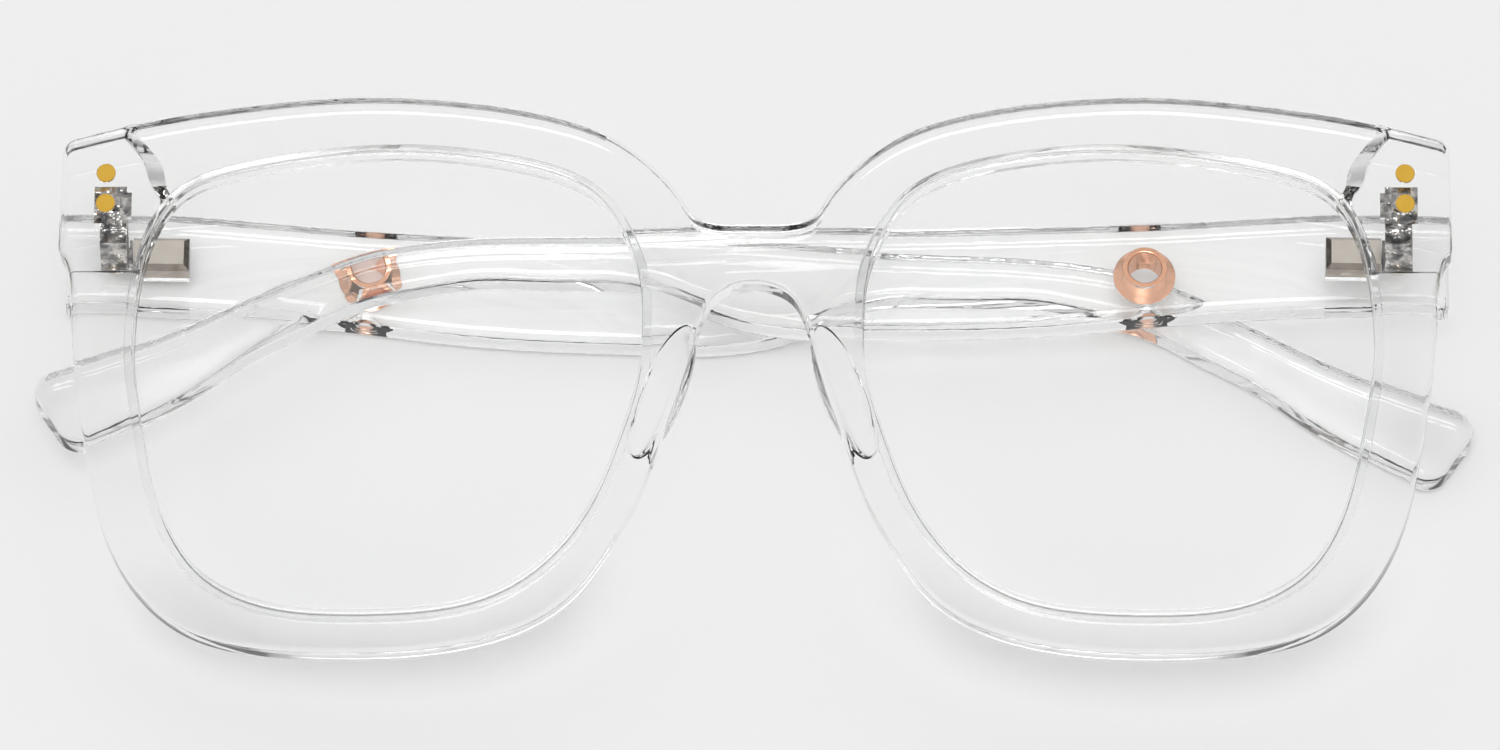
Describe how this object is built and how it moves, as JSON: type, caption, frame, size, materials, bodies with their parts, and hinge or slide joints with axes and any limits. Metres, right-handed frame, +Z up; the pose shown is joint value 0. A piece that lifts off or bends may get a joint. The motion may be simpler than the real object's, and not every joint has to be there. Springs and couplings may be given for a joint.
{
  "type": "eyeglasses",
  "caption": "Oversized square eyeglasses in clear plastic, folded face up, with spring-hinged temples and cord eyelets.",
  "frame": {"origin": "middle of the folded glasses' footprint, on the table under them", "axes": "+X to the viewer's right along the front, +Y towards the brow, +Z up from the table; left and right are the viewer's"},
  "size_m": [0.1502, 0.0606, 0.0224],
  "materials": {
    "clear_frame": "polished, clear",
    "clear_temple": "polished, clear",
    "clear_lens": "polished, clear",
    "nickel": "satin nickel plate",
    "spring_steel": "bright wire",
    "gold": "polished",
    "rose_gold": "polished"
  },
  "bodies": {
    "front": {"front_frame": "clear_frame", "lens_left": "clear_lens", "hinge_leaf_left": "nickel", "hinge_screw_left": "nickel", "gold_studs_left": "gold", "lens_right": "clear_lens", "hinge_leaf_right": "nickel", "hinge_screw_right": "nickel", "gold_studs_right": "gold"},
    "slider_left": {"hinge_slider_left": "nickel", "slider_nut_left": "nickel", "hinge_spring_left": "spring_steel"},
    "slider_right": {"hinge_slider_right": "nickel", "slider_nut_right": "nickel", "hinge_spring_right": "spring_steel"},
    "temple_body_left": {"temple_left": "clear_temple", "spring_housing_left": "nickel", "spring_stop_left": "nickel", "eyelet_left": "rose_gold"},
    "temple_body_right": {"temple_right": "clear_temple", "spring_housing_right": "nickel", "spring_stop_right": "nickel", "eyelet_right": "rose_gold"}
  },
  "joints": [
    {"name": "left_temple_fold", "type": "hinge", "parent": "front", "child": "slider_left", "pos_m": [-0.06696, 0.01792, 0.0056], "axis": [0, 1, 0], "range_deg": [0, 88.2]},
    {"name": "right_temple_fold", "type": "hinge", "parent": "front", "child": "slider_right", "pos_m": [0.06696, 0.01792, 0.0099], "axis": [0, -1, 0], "range_deg": [0, 91.8]},
    {"name": "left_spring_slide", "type": "slide", "parent": "slider_left", "child": "temple_body_left", "axis": [1, 0, 0], "range_m": [0, 0.0012], "stiffness_N_per_m": 3000, "springref_m": -0.0015, "deforming": ["hinge_spring_left"]},
    {"name": "right_spring_slide", "type": "slide", "parent": "slider_right", "child": "temple_body_right", "axis": [-1, 0, 0], "range_m": [0, 0.0012], "stiffness_N_per_m": 3000, "springref_m": -0.0015, "deforming": ["hinge_spring_right"]}
  ],
  "couplings": [
    {"joint": "right_temple_fold", "follows": "left_temple_fold", "ratio": 0.1}
  ]
}
